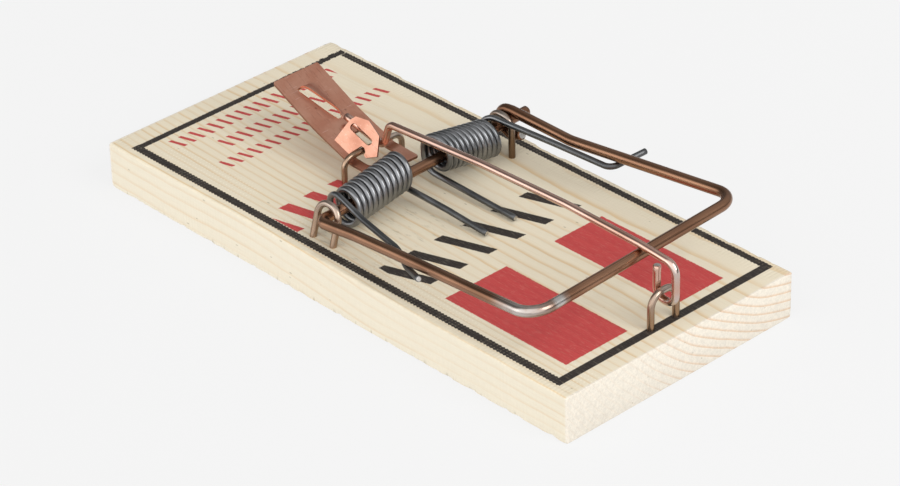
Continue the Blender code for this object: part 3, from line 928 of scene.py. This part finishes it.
def slab(name, low, high, step):
    """A flat sheet, from the low corner to the high one, divided into squares of about this step."""
    nx = max(1, round((high[0] - low[0]) / step))
    ny = max(1, round((high[1] - low[1]) / step))
    points = []
    for z in (-SHEET_T / 2, SHEET_T / 2):
        for i in range(nx + 1):
            x = low[0] + (high[0] - low[0]) * i / nx
            for j in range(ny + 1):
                points.append((x, low[1] + (high[1] - low[1]) * j / ny, z))
    row, layer = ny + 1, (nx + 1) * (ny + 1)
    faces = []
    for i in range(nx):
        for j in range(ny):
            a = i * row + j
            faces.append((a, a + 1, a + row + 1, a + row))
            faces.append((a + layer, a + row + layer, a + row + 1 + layer, a + 1 + layer))
    for i in range(nx):
        a, b = i * row, i * row + ny
        faces.append((a, a + row, a + row + layer, a + layer))
        faces.append((b + row, b, b + layer, b + row + layer))
    for j in range(ny):
        a, b = j, nx * row + j
        faces.append((a + 1, a, a + layer, a + 1 + layer))
        faces.append((b, b + 1, b + 1 + layer, b + layer))
    return mesh_object(name, points, faces)


def prism(name, outline, depth=5.0):
    """The outline as a solid, from depth below the flat sheet to depth above it."""
    count = len(outline)
    points = [(x, y, -depth) for x, y in outline] + [(x, y, depth) for x, y in outline]
    faces = [tuple(reversed(range(count))), tuple(range(count, 2 * count))]
    for k in range(count):
        after = (k + 1) % count
        faces.append((k, after, count + after, count + k))
    return mesh_object(name, points, faces, smooth=False)


def apply_boolean(obj, other, operation):
    """Joins or cuts obj with other, and removes other."""
    modifier = obj.modifiers.new("boolean", "BOOLEAN")
    modifier.operation = operation
    modifier.solver = "EXACT"
    modifier.object = other
    graph = bpy.context.evaluated_depsgraph_get()
    shape = bpy.data.meshes.new_from_object(obj.evaluated_get(graph))
    obj.modifiers.clear()
    obj.data = shape
    bpy.data.objects.remove(other, do_unlink=True)


def rounded_outline(corners, radius):
    """The closed outline with each corner turned into an arc."""
    closed = [corners[-1]] + corners + [corners[0]]
    path = rounded([(x, y, 0) for x, y in closed], [radius] * len(corners), arc_steps=6)
    return [(p.x, p.y) for p in path[1:-1]]


def mark_cut_edges(flat):
    """Gives the upright faces of a flat sheet the second material, except at the lips of the bait slit."""
    for face in flat.data.polygons:
        x, y = face.center.x / MM, face.center.y / MM
        at_slit = abs(x - SLIT_X) < SLIT_L / 2 + 0.1 and abs(y - slit_y(x)) < 1.0
        face.material_index = 1 if abs(face.normal.z) < 0.5 and not at_slit else 0


def build_sheet(materials):
    """The pedal's sheet: cut flat, then bent at the knee and pressed up into the bait hood."""
    half = PEDAL_W / 2
    low = (BAIT_END_X, PEDAL_Y - half)
    high = (TAIL_X, PEDAL_Y + half)
    sheet = slab("bait_pedal", low, high, 0.55)
    for material in materials:
        sheet.data.materials.append(material)
    corners = [low, (high[0], low[1]), high, (low[0], high[1])]
    apply_boolean(sheet, prism("outline", rounded_outline(corners, 0.5)), "INTERSECT")
    ends = [SLIT_X - SLIT_L / 2, SLIT_X + SLIT_L / 2]
    slot = [(x, slit_y(x) - SLIT_GAP / 2) for x in ends]
    slot += [(ends[1], slit_y(ends[1]) + SLIT_GAP), (ends[0], slit_y(ends[0]) + SLIT_GAP / 2)]
    apply_boolean(sheet, prism("window", rounded_outline(WINDOW, 1.6)), "DIFFERENCE")
    apply_boolean(sheet, prism("slot", slot), "DIFFERENCE")
    mark_cut_edges(sheet)
    for vertex in sheet.data.vertices:
        x, y = vertex.co.x / MM, vertex.co.y / MM
        vertex.co.z += (sheet_z(x) + hood_rise(x, y) + BOARD_T) * MM
    return sheet


def catch_outline():
    """The catch plate, flat: first along the pedal towards the bait, then up from its fold."""
    return [
        (0.0, -1.0),
        (0.2, 6.9),
        (-0.5, 8.7),
        (-4.4, 10.3),
        (-9.6, 9.2),
        (-12.9, 4.8),
        (-10.6, 2.5),
        (-9.7, 2.6),
        (-9.4, 3.6),
        (-8.3, 4.2),
        (-7.3, 3.9),
        (-6.9, 2.9),
        (-6.3, 1.4),
        (-5.7, -1.0),
    ]


def build_catch(materials):
    """The plate turned up out of the window, leaning over the bar's tip, with its long slot."""
    plate = slab("catch", (-13.5, -1.5), (0.6, 10.6), 0.4)
    for material in materials:
        plate.data.materials.append(material)
    apply_boolean(plate, prism("catch_outline", list(reversed(catch_outline()))), "INTERSECT")
    apply_boolean(plate, prism("catch_slot", rounded_outline(CATCH_SLOT, 0.99)), "DIFFERENCE")
    mark_cut_edges(plate)
    slope = (KNEE_Z - HINGE_Z) / (KNEE_X - PEDAL_PIVOT_X)
    along = Vector((-1, 0, -slope)).normalized()
    leaning = Vector((0, cos(CATCH_LEAN), sin(CATCH_LEAN)))
    out = along.cross(leaning).normalized()
    up = out.cross(along)
    foot = over_board(CATCH_FOOT_X, CATCH_FOLD_Y, sheet_z(CATCH_FOOT_X))
    for vertex in plate.data.vertices:
        flat = vertex.co / MM
        vertex.co = (foot + along * flat.x + up * flat.y + out * flat.z) * MM
    return plate


def build_pedal():
    materials = [plate_material("copper_plate"), plate_material("sheared_edge_shaded", 0.5)]
    pedal = build_sheet(materials)
    apply_boolean(pedal, build_catch(materials), "UNION")
    for face in pedal.data.polygons:
        face.use_smooth = True
    pedal.data.set_sharp_from_angle(angle=radians(35))
    return pedal


# ---------------------------------------------------------------- assembly


def add_piece(piece, body, node):
    """Puts a piece in the place of a CAD node. Body is None for a piece that is left unattached to any body.
    """
    if body is not None:
        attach(piece, body)
    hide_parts(node)


def build_staples(coat, cut):
    """The four staples, each a little rubbed at its crown."""
    half = AXLE_STAPLE_SPAN / 2
    near = [(AXLE_X + s * half, NEAR_STAPLE_Y) for s in (-1, 1)]
    far = [(AXLE_X + s * half, FAR_STAPLE_Y) for s in (-1, 1)]
    bar = [(BAR_STAPLE_X, BAR_STAPLE_Y + s * BAR_STAPLE_SPAN / 2) for s in (-1, 1)]
    pedal = [(PEDAL_PIVOT_X, PEDAL_STAPLE_Y + s * PEDAL_STAPLE_SPAN / 2) for s in (-1, 1)]
    plans = [
        ("axle_staple_near", staple_path(*near, 9.7, 3.4, NEAR_STAPLE_LEAN), STAPLE_WIRE_D),
        ("axle_staple_far", staple_path(*far, 11.5, 3.4), STAPLE_WIRE_D),
        ("bar_staple", staple_path(*bar, BAR_PIVOT_Z, 4.0), STAPLE_WIRE_D),
        ("pedal_staple", staple_path(*pedal, PEDAL_PIVOT_Z, 3.0), PEDAL_STAPLE_WIRE_D),
    ]
    for name, path, diameter in plans:
        crown = path[len(path) // 2]
        piece = wire_piece("wire_" + name, path, diameter, coat, cut, spots=[(crown, 7.0, 0.35)])
        add_piece(piece, "base", name)


def build_wires():
    """The hammer, the holding bar, the staples and the springs."""
    cut = cut_steel_material()
    hammer_coat = wire_material("hammer_wire", HAMMER_COPPER, 0.28)
    bar_coat = wire_material("bar_wire", BAR_COPPER, 0.2)
    staple_coat = wire_material("staple_wire", STAPLE_COPPER, 0.3)
    spring_coat = spring_material()
    build_staples(staple_coat, cut)
    corner = over_board(CROSSBAR_X - 5, -35.5, CROSSBAR_Z - 1)
    spots = [(corner, 9.0, 0.8), (over_board(CROSSBAR_X, -28.5, CROSSBAR_Z - 1), 2.6, 1.2)]
    hammer = wire_piece("hammer_wire", hammer_path(), WIRE_D, hammer_coat, cut, sides=24, spots=spots)
    add_piece(hammer, "hammer", "hammer")
    # Bare steel at the hook's two bend points: partly rubbed plating, partly a painted highlight for silvery
    # glints there
    glinting_bends = (over_board(HOOK_X, BAR_STAPLE_Y, 8.0), over_board(HOOK_X, BAR_STAPLE_Y, 16.5))
    spots = [(glinting_bends[0], 3.5, 0.7), (glinting_bends[1], 4.5, 0.5)]
    bar = wire_piece("bar_wire", bar_path(), BAR_D, bar_coat, cut, spots=spots)
    add_piece(bar, "holding_bar", "holding_bar")
    for name, side in (("spring_near", -1), ("spring_far", 1)):
        path = spring_path(side)
        coil = coil_path(side)
        middle = Vector((AXLE_X, (coil[0].y + coil[-1].y) / 2, BOARD_T + AXLE_Z))
        look = {"axis": Vector((0, 1, 0)), "spots": [(middle, *COIL_WEAR_AND_SHEEN)], "step": 1.2}
        spring = wire_piece("wire_" + name, path, SPRING_WIRE_D, spring_coat, cut, **look)
        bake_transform(spring)
        add_piece(spring, None, name)


def build_object():
    board = build_board(pine_material())
    add_piece(board, "base", "base_board")
    build_wires()
    pedal = build_pedal()
    add_piece(pedal, "pedal", "pedal")


# ---------------------------------------------------------------- studio


# Direction, cosine where the glow starts, cosine where it is full, and its brightness
GLOWS = [
    ((0.05, 0.6, 0.8), 0.5, 0.92, 0.42),
    ((0.4, -0.8, 0.3), 0.3, 0.75, 1.45),
    ((-0.62, -0.77, 0.08), 0.8, 0.97, 1.4),
]


def build_camera():
    """A long lens at the main viewing angle."""
    data = bpy.data.cameras.new("camera")
    data.lens = CAMERA_LENS
    data.sensor_width = 36.0
    data.clip_start, data.clip_end = 0.05, 20.0
    camera = bpy.data.objects.new("camera", data)
    bpy.context.scene.collection.objects.link(camera)
    back = Vector((
        sin(CAMERA_AZIMUTH) * cos(CAMERA_ELEVATION),
        -cos(CAMERA_AZIMUTH) * cos(CAMERA_ELEVATION),
        sin(CAMERA_ELEVATION),
    ))
    right = Vector((cos(CAMERA_AZIMUTH), sin(CAMERA_AZIMUTH), 0))
    up = back.cross(right)
    level = Matrix((right, up, back)).transposed()
    turned = level @ Matrix.Rotation(CAMERA_ROLL, 3, "Z")
    camera.matrix_world = Matrix.Translation(Vector(CAMERA_PLACE) * MM) @ turned.to_4x4()
    bpy.context.scene.camera = camera


def build_floor():
    """A wide pale floor that glows evenly, so that shadows on it stay faint."""
    reach = 3000.0
    corners = [(-reach, -reach), (reach, -reach), (reach, reach), (-reach, reach)]
    floor = mesh_object("floor", [(x, y, -0.05) for x, y in corners], [(0, 1, 2, 3)])
    g = Graph(bpy.data.materials.new("pale_floor"))
    g.surface((0.1, 0.1, 0.1, 1.0), 1.0, specular=0.0)
    g.shader.inputs["Emission Color"].default_value = (1.0, 1.0, 1.0, 1.0)
    g.shader.inputs["Emission Strength"].default_value = 0.8
    floor.data.materials.append(g.material)


def build_world():
    """A dark surround with broad bright parts: in front, at the left, and overhead towards the far side."""
    world = bpy.data.worlds.new("studio")
    bpy.context.scene.world = world
    g = Graph(world)
    x, y, z = g.position("Generated", 1.0)
    level = Value(g, g.number(0.17))
    for direction, edge, core, brightness in GLOWS:
        dx, dy, dz = Vector(direction).normalized()
        facing = x * dx + y * dy + z * dz
        level = level + facing.ramp(edge, core, 0.0, brightness)
    background = g.tree.nodes["Background"]
    background.inputs["Color"].default_value = (1.0, 1.0, 1.0, 1.0)
    g.plug(level, background.inputs["Strength"])


def area_light(name, direction, distance, size, power):
    """A softbox that faces the trap from this direction."""
    data = bpy.data.lights.new(name, "AREA")
    data.shape = "RECTANGLE"
    data.size, data.size_y = size
    data.energy = power
    light = bpy.data.objects.new(name, data)
    bpy.context.scene.collection.objects.link(light)
    away = Vector(direction).normalized()
    light.location = away * distance
    light.rotation_euler = (-away).to_track_quat("-Z", "Y").to_euler()


def build_studio():
    bpy.context.scene.view_settings.view_transform = "Standard"
    build_world()
    build_floor()
    area_light("key_box", (0.72, 0.12, 0.62), 1.0, (0.5, 0.65), 4.5)


build_camera()
build_object()
build_studio()
